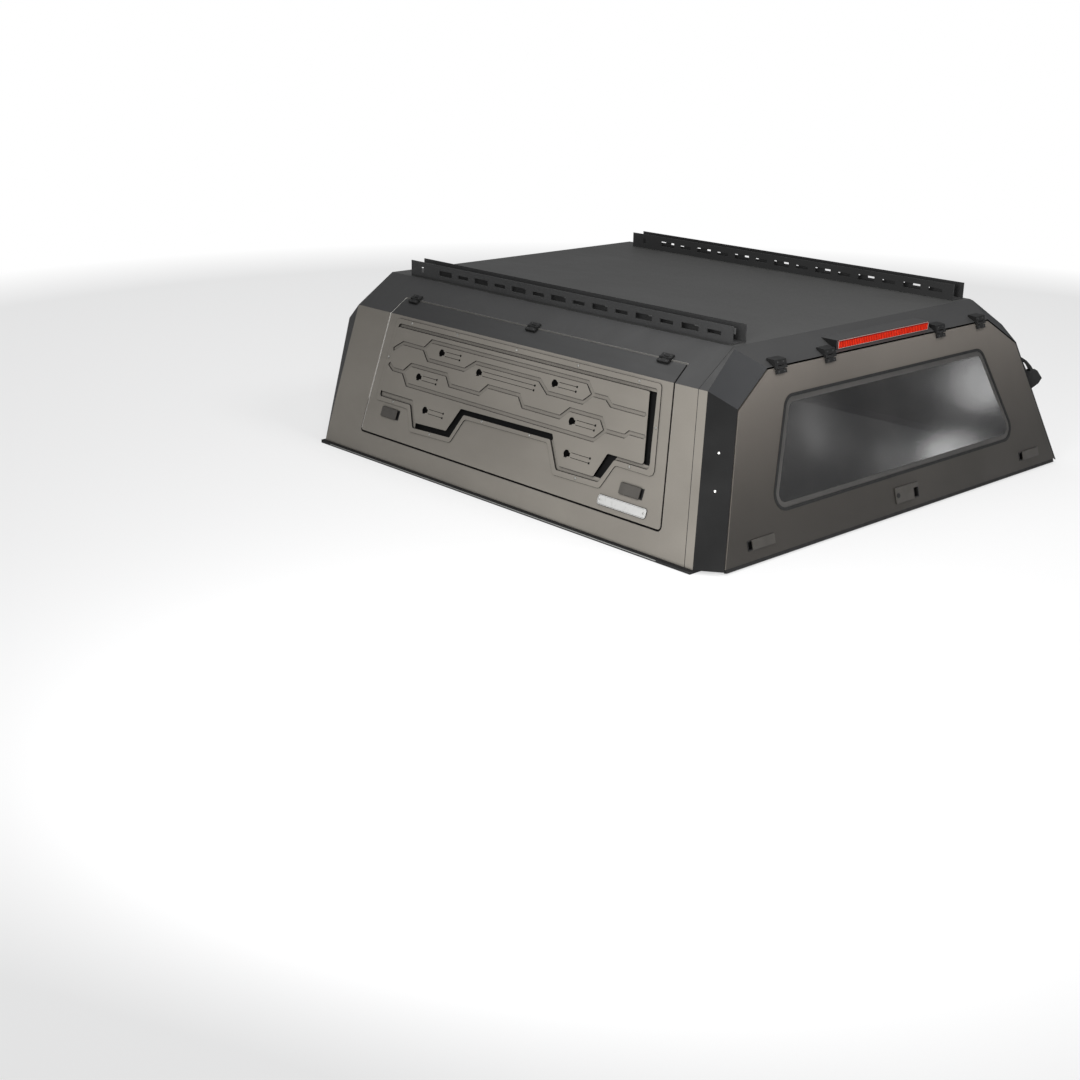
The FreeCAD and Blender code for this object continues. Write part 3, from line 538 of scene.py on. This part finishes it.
# Pieces made from rings of points
def add_piece(name, mesh_builder, body, material, smooth=False):
    """Fill a new mesh, hang it on a body and give it its finish."""
    work = bmesh.new()
    mesh_builder(work)
    bmesh.ops.recalc_face_normals(work, faces=work.faces)
    mesh = bpy.data.meshes.new(name)
    work.to_mesh(mesh)
    work.free()
    if smooth:
        mesh.shade_smooth()
        mesh.set_sharp_from_angle(angle=math.radians(40))
    piece = bpy.data.objects.new(name, mesh)
    bpy.context.scene.collection.objects.link(piece)
    mesh.materials.append(materials[material])
    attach(piece, body)
    return piece


def bridge(work, rings, close_first=False, close_last=False):
    """Skin a row of closed rings that have the same number of points."""
    loops = [[work.verts.new(point) for point in ring] for ring in rings]
    count = len(loops[0])
    for lower, upper in zip(loops, loops[1:]):
        for i in range(count):
            j = (i + 1) % count
            work.faces.new((lower[i], lower[j], upper[j], upper[i]))
    if close_first:
        work.faces.new(loops[0][::-1])
    if close_last:
        work.faces.new(loops[-1])


def around(centre, normal, radius, height, count=18, hexagon=False):
    """Ring of points about an axis, round or along the sides of a hexagon."""
    first = normal.orthogonal().normalized()
    second = normal.cross(first)
    points = []
    for i in range(count):
        angle = 2 * math.pi * i / count
        reach = radius
        if hexagon:
            reach = radius * math.cos(math.pi / 6) / math.cos(angle % (math.pi / 3) - math.pi / 6)
        step = first * (reach * math.cos(angle)) + second * (reach * math.sin(angle))
        points.append(centre + step + normal * height)
    return points


# Shares of radius and height down the dome of a bolt head and into its hexagon socket
HEAD_SINK = 0.0003
HEAD_DOME = [(1.0, 0.35), (0.88, 0.75), (0.66, 0.97)]
HEAD_SOCKET = [(0.46, 1.0), (0.44, 0.4)]


def button_head(work, centre, normal, radius, height):
    """Domed bolt head with a hexagon socket."""
    rings = [around(centre, normal, radius, -HEAD_SINK)]
    for share, level in HEAD_DOME:
        rings.append(around(centre, normal, radius * share, height * level))
    for share, level in HEAD_SOCKET:
        rings.append(around(centre, normal, radius * share, height * level, hexagon=True))
    bridge(work, rings, close_last=True)


def heads(name, spots, radius, height, body, slot_name, material="zinc"):
    def build(work):
        for centre, normal in spots:
            button_head(work, centre, normal, radius, height)

    return add_piece(name, build, body, material, smooth=True)


# Radius and height of each kind of bolt head
RIM_BOLT = (0.0036, 0.0018)
CORNER_SCREW = (0.0042, 0.0022)
RAIL_BOLT = (0.0065, 0.0045)
RIVET = (0.0030, 0.0015)
HINGE_SCREW = (0.0024, 0.0010)

# Bolts round the rim of the tool panels, as Y and Z on the side wall
RIM_TOP = 0.002
RIM_BOLTS = [
    (1.425, 0.413), (1.200, 0.413), (0.928, 0.413), (0.666, 0.413), (0.425, 0.413),
    (1.494, 0.300), (1.414, 0.1745), (1.203, 0.1155), (0.991, 0.1955), (0.780, 0.198),
    (0.3215, 0.309), (0.374, 0.1955), (0.557, 0.1255),
]
for hand, face in side_faces.items():
    spots = [(face.at(y, z, RIM_TOP), face.normal) for y, z in RIM_BOLTS]
    heads("panel_bolts_" + hand, spots, *RIM_BOLT, "door_" + hand, "black_coat")

# Round black lips in the keyholes of the tool panels
KEYHOLES = [
    (1.246, 0.352), (1.058, 0.326), (0.735, 0.352), (1.322, 0.267), (0.628, 0.267),
    (1.251, 0.179), (0.613, 0.181),
]
KEYHOLE_SHIFT = 0.003
FIELD_TOP = 0.003
LIP_SHAPE = [(0.0104, -0.0004), (0.0104, 0.0003), (0.0096, 0.0008), (0.0086, 0.0003)]


def keyhole_lips(face):
    def build(work):
        for y, z in KEYHOLES:
            centre = face.at(y + KEYHOLE_SHIFT, z, FIELD_TOP)
            rings = [around(centre, face.normal, radius, level, 28) for radius, level in LIP_SHAPE]
            bridge(work, rings, close_last=True)

    return build


for hand, face in side_faces.items():
    add_piece(
        "keyhole_lips_" + hand, keyhole_lips(face), "door_" + hand, "deep_black", True
    )

# Screws on the lower rear corner plates
CORNER_SCREWS = [(0.110, 0.283), (0.086, 0.191)]


def corner_point(y, z, sign):
    """Point on the outer face of a lower corner plate."""
    normal = LOWER_CORNER
    foot = Vector((HALF_WIDTH, CORNER_FOOT_Y, 0))
    x = foot.x - (normal.y * (y - foot.y) + normal.z * z) / normal.x
    outward = Vector((sign * normal.x, normal.y, normal.z)).normalized()
    return place(sign * x, y, z), outward


spots = [corner_point(y, z, sign) for sign in (-1, 1) for y, z in CORNER_SCREWS]
heads("corner_screws", spots, *CORNER_SCREW, "canopy", "black_coat")

# Bolts on the floor of the roof rails
rail_low, rail_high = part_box("roof_rails")
RAIL_WIDTH = 0.057
RAIL_WALL = 0.003
RAIL_BOLTS = 7
RAIL_BOLT_INSET = 0.06
spots = []
for i in range(RAIL_BOLTS):
    reach = rail_high.y - rail_low.y - 2 * RAIL_BOLT_INSET
    y = rail_low.y + RAIL_BOLT_INSET + i * reach / (RAIL_BOLTS - 1)
    for x in (rail_low.x + RAIL_WIDTH / 2, rail_high.x - RAIL_WIDTH / 2):
        spots.append((Vector((x, y, rail_low.z + RAIL_WALL)), Vector((0, 0, 1))))
heads("rail_bolts", spots, *RAIL_BOLT, "canopy", "black_coat")

# Blank plate with two rivets on the left door
PLATE_Y = (0.270, 0.455)
PLATE_Z = (0.080, 0.107)
PLATE_RADIUS = 0.008
PLATE_TOP = 0.0013
RIVET_Y = (0.280, 0.445)
FLAT = 0.9


def rounded_flat(low_a, high_a, low_b, high_b, radius, steps=5):
    """Rounded rectangle as flat points."""
    points = []
    corners = [
        (high_a - radius, high_b - radius, 0),
        (low_a + radius, high_b - radius, 1),
        (low_a + radius, low_b + radius, 2),
        (high_a - radius, low_b + radius, 3),
    ]
    for a, b, quarter in corners:
        for i in range(steps + 1):
            angle = (quarter + i / steps) * math.pi / 2
            points.append((a + radius * math.cos(angle), b + radius * math.sin(angle)))
    return points


def plate_rings(face, low_a, high_a, low_b, high_b, radius, levels):
    """Rings of a small plate from pairs of inset and height."""
    rings = []
    for amount, height in levels:
        flat = rounded_flat(
            low_a + amount, high_a - amount, low_b + amount, high_b - amount, radius - amount
        )
        rings.append([face.at(a, b, height) for a, b in flat])
    return rings


def mark_walls(piece, normal):
    """Make the small upright walls of a plate black."""
    piece.data.materials.append(materials["deep_black"])
    for polygon in piece.data.polygons:
        if abs(polygon.normal.dot(normal)) < FLAT:
            polygon.material_index = 1


left_face = side_faces["left"]
plate_levels = [(0, -0.0003), (0, 0.0012), (0.0006, 0.0018), (0.0022, 0.0018), (0.0028, PLATE_TOP)]
plate = plate_rings(left_face, *PLATE_Y, *PLATE_Z, PLATE_RADIUS, plate_levels)
plate_piece = add_piece(
    "name_plate",
    lambda work: bridge(work, plate, close_last=True),
    "door_left",
    "white_enamel",
)
mark_walls(plate_piece, left_face.normal)
plate_middle = (PLATE_Z[0] + PLATE_Z[1]) / 2
spots = [(left_face.at(y, plate_middle, PLATE_TOP), left_face.normal) for y in RIVET_Y]
heads("name_plate_rivets", spots, *RIVET, "door_left", "black_coat")

# Black sealer in the seams in front of the tail flanges
BEAD_DEPTH = 0.0011
BEAD_HALF_WIDTH = 0.0013
BEAD_HALF_HEIGHT = 0.0006
BEAD_FOOT_Z = 0.002


def bead(work, start, end, normal):
    """Straight flat bead just below a face."""
    across = normal.cross((end - start).normalized())
    rings = []
    for point in (start, end):
        centre = point - normal * BEAD_DEPTH
        ring = []
        for i in range(12):
            angle = math.pi * i / 6
            step = across * (BEAD_HALF_WIDTH * math.cos(angle))
            ring.append(centre + step + normal * (BEAD_HALF_HEIGHT * math.sin(angle)))
        rings.append(ring)
    bridge(work, rings, close_first=True, close_last=True)


def seam_beads(work):
    foot_y, break_y, roof_y = TAIL_SEAM_Y
    for hand in ("left", "right"):
        side = side_faces[hand]
        shoulder = shoulder_faces[hand]
        break_point = side.at(break_y, BREAK_Z)
        bead(work, side.at(foot_y, BEAD_FOOT_Z), break_point, side.normal)
        bead(work, break_point, shoulder.at(roof_y, ROOF_Z - BREAK_Z), shoulder.normal)


add_piece("seam_beads", seam_beads, "canopy", "rubber", True)

# Screws on the hinge plates
SCREW_STEP = 0.012
DOOR_LEAF_TOP = 0.0060
DOOR_LEAF_MIDDLE = 0.011
HATCH_LEAF_TOP = 0.0065
HATCH_LEAF_MIDDLE = 0.014
HATCH_STRAP_MIDDLE = 0.0115


def hinge_screws(name, spots, body):
    heads(name, spots, *HINGE_SCREW, body, "black_coat", "black_coat")


for hand, shoulder in shoulder_faces.items():
    seam = (DOOR_SEAM_Z - BREAK_Z) / shoulder.rise
    fixed_spots = []
    door_spots = []
    for y in DOOR_HINGE_Y:
        for step in (-SCREW_STEP, SCREW_STEP):
            fixed = shoulder.over(y + step, seam + DOOR_LEAF_MIDDLE, DOOR_LEAF_TOP)
            moving = shoulder.over(y + step, seam - DOOR_LEAF_MIDDLE, DOOR_LEAF_TOP)
            fixed_spots.append((fixed, shoulder.normal))
            door_spots.append((moving, shoulder.normal))
    hinge_screws("hinge_screws_" + hand, fixed_spots, "canopy")
    hinge_screws("door_screws_" + hand, door_spots, "door_" + hand)

hatch_height = math.hypot(HATCH_TOP_Y, HATCH_TOP_Z)
pin_level = hatch_height - HATCH_GAP
fixed_spots = []
strap_spots = []
for x in HATCH_HINGE_X:
    for step in (-SCREW_STEP, SCREW_STEP):
        fixed = hatch_face.over(x + step, pin_level + HATCH_LEAF_MIDDLE, HATCH_LEAF_TOP)
        moving = hatch_face.over(x + step, pin_level - HATCH_STRAP_MIDDLE, HATCH_LEAF_TOP)
        fixed_spots.append((fixed, hatch_face.normal))
        strap_spots.append((moving, hatch_face.normal))
hinge_screws("hatch_hinge_screws", fixed_spots, "canopy")
hinge_screws("hatch_strap_screws", strap_spots, "hatch")

# Pale border round the hatch window, with painted reflection in its colour
WINDOW_FOOT = (0.607, 0.104)
WINDOW_TOP = (0.477, 0.399)
WINDOW_R = 0.046


def inset_corners(corners, amount):
    """Corners of a flat outline, given anticlockwise, moved inward."""
    count = len(corners)
    lines = []
    for i in range(count):
        (a0, b0), (a1, b1) = corners[i], corners[(i + 1) % count]
        size = math.hypot(a1 - a0, b1 - b0)
        na, nb = (b1 - b0) / size, (a0 - a1) / size
        lines.append((na, nb, na * a0 + nb * b0 - amount))
    moved = []
    for i in range(count):
        a1, b1, k1 = lines[i - 1]
        a2, b2, k2 = lines[i]
        det = a1 * b2 - a2 * b1
        moved.append(((k1 * b2 - k2 * b1) / det, (a1 * k2 - a2 * k1) / det))
    return moved


def rounded_corners(corners, radius, steps=10):
    """Flat points of an outline with round corners."""
    points = []
    count = len(corners)
    for i in range(count):
        here = Vector(corners[i])
        back = (Vector(corners[i - 1]) - here).normalized()
        ahead = (Vector(corners[(i + 1) % count]) - here).normalized()
        half = back.angle(ahead) / 2
        bisector = (back + ahead).normalized()
        centre = here + bisector * (radius / math.sin(half))
        start = here + back * (radius / math.tan(half)) - centre
        finish_at = here + ahead * (radius / math.tan(half)) - centre
        swing = start.angle_signed(finish_at)
        for step in range(steps + 1):
            turned = start.copy()
            turned.rotate(Matrix.Rotation(-swing * step / steps, 2))
            points.append(centre + turned)
    return points


def window_ring(amount, height):
    rise = hatch_face.rise
    corners = [
        (-WINDOW_FOOT[0], WINDOW_FOOT[1] / rise),
        (WINDOW_FOOT[0], WINDOW_FOOT[1] / rise),
        (WINDOW_TOP[0], WINDOW_TOP[1] / rise),
        (-WINDOW_TOP[0], WINDOW_TOP[1] / rise),
    ]
    flat = rounded_corners(inset_corners(corners, amount), WINDOW_R - amount)
    return [hatch_face.over(a, b, height) for a, b in flat]


border_levels = [
    (0.0078, -0.0012), (0.0086, -0.0004), (0.0200, -0.0004), (0.0222, -0.0007), (0.0230, -0.0012),
]
border = [window_ring(amount, height) for amount, height in border_levels]
add_piece(
    "window_border",
    lambda work: bridge(work, border),
    "hatch",
    "border_glass",
    True,
)

# Ribs and pale edge of the brake light
RIB_STEPS = 6
RIB_STAND = 0.0002
RIB_SWELL = 0.0010
RIB_BACK = 0.001
RIB_FOOT = 0.0022
RIM_RADIUS = 0.0030
lens_face = Face((0, 0, 0), (1, 0, 0), (0, 0, 1))
lens_face.origin = Vector((0, lens_low.y, 0))


def rib_ring(z):
    """Wavy front edge of the ribs and a straight back edge inside the lens."""
    count = (LENS_RIBS - 1) * RIB_STEPS
    left = lens_low.x + LENS_RIB_PITCH / 2
    width = lens_high.x - lens_low.x - LENS_RIB_PITCH
    points = []
    for i in range(count + 1):
        swell = abs(math.sin(math.pi * i / RIB_STEPS))
        front = lens_low.y - RIB_STAND - RIB_SWELL * swell
        points.append(Vector((left + width * i / count, front, z)))
    points.append(Vector((left + width, lens_low.y + RIB_BACK, z)))
    points.append(Vector((left, lens_low.y + RIB_BACK, z)))
    return points


rib_rings = [rib_ring(lens_low.z + RIB_FOOT), rib_ring(lens_high.z - PLAIN_BAND)]
add_piece(
    "lens_ribs",
    lambda work: bridge(work, rib_rings, close_first=True, close_last=True),
    "canopy",
    "red_lens",
)
edge_levels = [
    (0.0, -0.0005), (0.0, 0.0004), (0.0004, 0.0007), (0.0014, 0.0007), (0.0018, -0.0005),
]
edge_rings = []
for amount, height in edge_levels:
    flat = rounded_flat(
        lens_low.x + amount,
        lens_high.x - amount,
        lens_low.z + amount,
        lens_high.z - amount,
        RIM_RADIUS - amount,
    )
    edge_rings.append([lens_face.over(a, b, height) for a, b in flat])
add_piece(
    "lens_rim", lambda work: bridge(work, edge_rings), "canopy", "lens_edge", True
)

# Tab and lock on the hatch handle
HANDLE_Z = 0.049
TAB_X = (0.028, 0.0565)
TAB_RADIUS = 0.002
TAB_FOOT = 0.0018
LOCK_X = -0.046
COVER_TOP = 0.004
BROKEN_EDGE = 0.0004
LOCK_SHAPE = [
    (0.0075, -0.0003), (0.0075, 0.0008), (0.0070, 0.0012), (0.0060, 0.0012), (0.0056, 0.0004),
]
handle_middle = HANDLE_Z / hatch_face.rise


def face_plate(face, low_a, high_a, low_b, high_b, radius, bottom, top):
    """Rings of a small plate with a broken edge, closed at the top."""
    rings = []
    for amount, height in ((0, bottom), (0, top - BROKEN_EDGE), (BROKEN_EDGE, top)):
        flat = rounded_flat(
            low_a + amount, high_a - amount, low_b + amount, high_b - amount, radius - amount
        )
        rings.append([face.over(a, b, height) for a, b in flat])
    return rings


tab_rise = (handle_middle + 0.008, handle_middle + 0.0225)
tab = face_plate(hatch_face, *TAB_X, *tab_rise, TAB_RADIUS, TAB_FOOT, COVER_TOP)
add_piece(
    "handle_tab",
    lambda work: bridge(work, tab, close_first=True, close_last=True),
    "hatch_handle",
    "hatch_latch_plastic",
)
lock_centre = hatch_face.over(LOCK_X, handle_middle, COVER_TOP)
lock_rings = [
    around(lock_centre, hatch_face.normal, radius, height, 24) for radius, height in LOCK_SHAPE
]
add_piece(
    "handle_lock",
    lambda work: bridge(work, lock_rings, close_last=True),
    "hatch_handle",
    "pan_plastic",
    True,
)

# Soft edges on the thick small pieces
SOFT_EDGES = {
    "door_hinge_leaves": 0.0006,
    "door_hinge_arms_left": 0.0006,
    "door_hinge_arms_right": 0.0006,
    "hatch_hinge_leaves": 0.0008,
    "hatch_hinge_straps": 0.0006,
    "tool_clamp": 0.0020,
    "roof_rails": 0.0005,
    "hatch_handle": 0.0006,
    "hatch_latch_left": 0.0005,
    "hatch_latch_right": 0.0005,
    "door_latch_front_left": 0.0005,
    "door_latch_front_right": 0.0005,
    "door_latch_rear_left": 0.0005,
    "door_latch_rear_right": 0.0005,
    "brake_light_housing": 0.0010,
}
for node_name, width in SOFT_EDGES.items():
    soft = NODES[node_name].modifiers.new("soft_edges", "BEVEL")
    soft.width = width
    soft.segments = 2
    soft.limit_method = "ANGLE"
    soft.angle_limit = math.radians(30)

# Camera at the photograph's place
CAMERA_PLACE = Vector((-3.77638, -3.37596, 1.42306))
CAMERA_YAW = 0.7509
CAMERA_DOWN = 0.3355
CAMERA_ROLL = 0.0170
SENSOR = 36.0
LENS = 52.353
forward = Vector(
    (
        math.sin(CAMERA_YAW) * math.cos(CAMERA_DOWN),
        math.cos(CAMERA_YAW) * math.cos(CAMERA_DOWN),
        -math.sin(CAMERA_DOWN),
    )
)
right = forward.cross(Vector((0, 0, 1))).normalized()
up = right.cross(forward)
rolled_right = right * math.cos(CAMERA_ROLL) + up * math.sin(CAMERA_ROLL)
rolled_up = up * math.cos(CAMERA_ROLL) - right * math.sin(CAMERA_ROLL)
camera_data = bpy.data.cameras.new("camera")
camera_data.sensor_width = SENSOR
camera_data.lens = LENS
camera_data.clip_end = 200.0
camera = bpy.data.objects.new("camera", camera_data)
bpy.context.scene.collection.objects.link(camera)
turn = Matrix((rolled_right, rolled_up, -forward)).transposed()
camera.matrix_world = Matrix.Translation(CAMERA_PLACE) @ turn.to_4x4()
bpy.context.scene.camera = camera


# Floor, sky and lamps
FLOOR_REACH = 60.0
FLOOR_DROP = 0.0005
FLOOR_GLOW = 0.62


def make_floor():
    """White floor that glows for the camera, and only glows far from the canopy."""
    mesh = bpy.data.meshes.new("floor")
    signs = ((-1, -1), (1, -1), (1, 1), (-1, 1))
    corners = [(a * FLOOR_REACH, b * FLOOR_REACH, -FLOOR_DROP) for a, b in signs]
    mesh.from_pydata(corners, [], [(0, 1, 2, 3)])
    floor = bpy.data.objects.new("floor", mesh)
    bpy.context.scene.collection.objects.link(floor)
    n = Nodes("floor")
    close = n.add("ShaderNodeTexGradient", gradient_type="SPHERICAL")
    n.link(n.stretched((0.22, 0.22, 1)), close.inputs[0])
    lit = n.add("ShaderNodeBsdfDiffuse")
    lit.inputs["Color"].default_value = (0.86, 0.86, 0.86, 1)
    glow = n.add("ShaderNodeEmission")
    path = n.add("ShaderNodeLightPath")
    away = n.ranged(close.outputs["Fac"], 0.0, 0.5, 1.0, 0.0)
    seen = n.maths("MAXIMUM", path.outputs["Is Camera Ray"], path.outputs["Is Transmission Ray"])
    mix = n.add("ShaderNodeMixShader")
    share = n.maths("MULTIPLY", n.maths("MAXIMUM", away, FLOOR_GLOW), seen)
    n.feed(mix, {0: share, 1: lit.outputs[0], 2: glow.outputs[0]})
    n.link(mix.outputs[0], n.output.inputs[0])
    mesh.materials.append(n.material)


def make_sky():
    """White where the camera sees it, and a faint cool light on the canopy."""
    world = bpy.data.worlds.new("sky")
    bpy.context.scene.world = world
    world.use_nodes = True
    tree = world.node_tree
    tree.nodes.clear()
    output = tree.nodes.new("ShaderNodeOutputWorld")
    seen = tree.nodes.new("ShaderNodeBackground")
    seen.inputs["Color"].default_value = (1, 1, 1, 1)
    lights = tree.nodes.new("ShaderNodeBackground")
    lights.inputs["Color"].default_value = (0.97, 0.98, 1, 1)
    lights.inputs["Strength"].default_value = 0.25
    path = tree.nodes.new("ShaderNodeLightPath")
    either = tree.nodes.new("ShaderNodeMath")
    either.operation = "MAXIMUM"
    mix = tree.nodes.new("ShaderNodeMixShader")
    tree.links.new(path.outputs["Is Camera Ray"], either.inputs[0])
    tree.links.new(path.outputs["Is Transmission Ray"], either.inputs[1])
    tree.links.new(either.outputs[0], mix.inputs[0])
    tree.links.new(lights.outputs[0], mix.inputs[1])
    tree.links.new(seen.outputs[0], mix.inputs[2])
    tree.links.new(mix.outputs[0], output.inputs[0])


def make_lamp(name, place_at, target, width, height, power):
    """Elliptical lamp that looks at a target."""
    data = bpy.data.lights.new(name, "AREA")
    data.shape = "ELLIPSE"
    data.size = width
    data.size_y = height
    data.energy = power
    lamp = bpy.data.objects.new(name, data)
    bpy.context.scene.collection.objects.link(lamp)
    lamp.visible_camera = False
    aim = Vector(target) - Vector(place_at)
    turned = aim.to_track_quat("-Z", "Y").to_matrix().to_4x4()
    lamp.matrix_world = Matrix.Translation(place_at) @ turned


make_floor()
make_sky()
make_lamp("key", (-2.3, -1.55, 1.05), (-0.8, -0.85, 0.2), 0.9, 0.9, 40)
make_lamp("back", (0.3, -2.2, 2.9), (0, -0.8, 0.4), 1.35, 1.35, 48)
make_lamp("top", (0.5, 1.5, 5.0), (0, 0, 0.4), 4.5, 4.5, 72)

# Small lamps whose mirror images lie in the hatch window
make_lamp("glass_right_high", (4.63, -3.56, 0.66), (0.45, -0.83, 0.30), 0.30, 0.36, 1.1)
make_lamp("glass_right_low", (4.33, -3.74, 0.33), (0.23, -0.87, 0.15), 0.28, 0.18, 0.8)
make_lamp("glass_left", (3.49, -3.97, 0.70), (-0.38, -0.83, 0.32), 0.12, 0.40, 0.22)
make_lamp("glass_middle", (3.93, -3.87, 0.38), (-0.06, -0.87, 0.17), 0.06, 0.26, 0.10)
